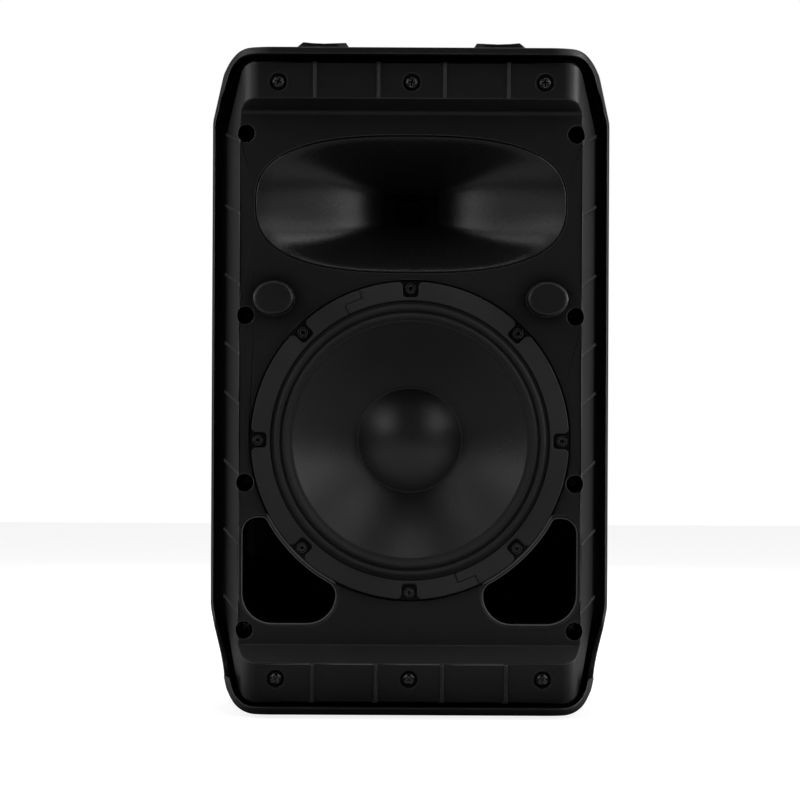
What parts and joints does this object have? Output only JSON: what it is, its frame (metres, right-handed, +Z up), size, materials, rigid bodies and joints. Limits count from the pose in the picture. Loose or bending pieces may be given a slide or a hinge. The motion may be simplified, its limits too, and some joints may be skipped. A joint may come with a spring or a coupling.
{
  "type": "pa speaker cabinet",
  "caption": "Moulded two-way active loudspeaker cabinet, grille off, with woofer, wide horn, corner ports, top handle, rear amplifier panel and pole socket.",
  "frame": {"origin": "centre of the bounding box's base, on the floor under the feet", "axes": "+Z up, -Y towards the listener (the front), +X to the right seen from the front"},
  "size_m": [0.328, 0.29, 0.5542],
  "materials": {
    "shell_plastic": "fine textured black polypropylene",
    "rubber": "matte black",
    "black_steel": "black zinc",
    "surround_cloth": "doped black cloth",
    "cone_paper": "coated black pulp",
    "spider_cloth": "resin-dipped cloth",
    "steel": "plated",
    "ferrite": "ground ferrite",
    "copper": "wound wire",
    "titanium": "formed foil",
    "driver_cap": "moulded black",
    "panel_metal": "black powder coat",
    "sheet_metal": "bare",
    "board": "green solder mask",
    "winding": "taped winding",
    "socket_plastic": "moulded black",
    "knob_plastic": "moulded black",
    "button_plastic": "moulded pale grey",
    "lens": "clear green",
    "foam": "open-cell foam",
    "lead_sleeve": "insulated wire"
  },
  "bodies": {
    "cabinet": {"front_shell": "shell_plastic", "rear_shell": "shell_plastic", "shell_seal": "rubber", "ledge_screw_1": "black_steel", "ledge_screw_2": "black_steel", "ledge_screw_3": "black_steel", "ledge_screw_4": "black_steel", "ledge_screw_5": "black_steel", "ledge_screw_6": "black_steel", "woofer_basket": "black_steel", "gasket_upper": "rubber", "gasket_lower": "rubber", "woofer_surround": "surround_cloth", "woofer_spider": "spider_cloth", "woofer_top_plate": "steel", "woofer_magnet": "ferrite", "woofer_back_plate": "steel", "woofer_screw_1": "black_steel", "woofer_screw_2": "black_steel", "woofer_screw_3": "black_steel", "woofer_screw_4": "black_steel", "woofer_screw_5": "black_steel", "woofer_screw_6": "black_steel", "woofer_screw_7": "black_steel", "woofer_screw_8": "black_steel", "horn": "shell_plastic", "hf_motor": "steel", "hf_magnet": "ferrite", "hf_top_plate": "steel", "hf_rear_cap": "driver_cap", "amp_panel": "panel_metal", "amp_cover": "sheet_metal", "amp_board": "board", "amp_transformer": "winding", "heat_sink": "panel_metal", "combo_input": "socket_plastic", "link_output": "socket_plastic", "mains_inlet": "socket_plastic", "rocker_bezel": "socket_plastic", "status_lens": "lens", "top_handle": "shell_plastic", "handle_screw_left": "black_steel", "handle_screw_right": "black_steel", "pole_socket": "black_steel", "foot_1": "rubber", "foot_2": "rubber", "foot_3": "rubber", "foot_4": "rubber", "damping_pad": "foam", "woofer_lead": "lead_sleeve", "hf_lead": "lead_sleeve"},
    "woofer_motion": {"woofer_cone": "cone_paper", "dust_cap": "cone_paper", "voice_coil": "copper"},
    "hf_dome": {"hf_diaphragm": "titanium"},
    "volume": {"volume_knob": "knob_plastic"},
    "mic_line": {"mic_line_button": "button_plastic"},
    "boost": {"boost_button": "button_plastic"},
    "power": {"power_rocker": "socket_plastic"},
    "release": {"release_tab": "sheet_metal"}
  },
  "joints": [
    {"name": "woofer_excursion", "type": "slide", "parent": "cabinet", "child": "woofer_motion", "axis": [0, -1, 0], "range_m": [-0.004, 0.004], "stiffness_N_per_m": 1500, "deforming": ["woofer_surround", "woofer_spider"]},
    {"name": "hf_excursion", "type": "slide", "parent": "cabinet", "child": "hf_dome", "axis": [0, -1, 0], "range_m": [-0.0003, 0.0003], "stiffness_N_per_m": 2000},
    {"name": "volume_turn", "type": "hinge", "parent": "cabinet", "child": "volume", "pos_m": [0.002, 0.1336, 0.354], "axis": [0, 1, 0], "range_deg": [-150, 150]},
    {"name": "mic_line_press", "type": "slide", "parent": "cabinet", "child": "mic_line", "axis": [0, -1, 0], "range_m": [0, 0.0025], "stiffness_N_per_m": 300},
    {"name": "boost_press", "type": "slide", "parent": "cabinet", "child": "boost", "axis": [0, -1, 0], "range_m": [0, 0.0025], "stiffness_N_per_m": 300},
    {"name": "power_rock", "type": "hinge", "parent": "cabinet", "child": "power", "pos_m": [-0.05, 0.1261, 0.35], "axis": [0, 0, 1], "range_deg": [-10, 10]},
    {"name": "release_press", "type": "slide", "parent": "cabinet", "child": "release", "axis": [0, -1, 0], "range_m": [0, 0.0015], "stiffness_N_per_m": 400}
  ]
}
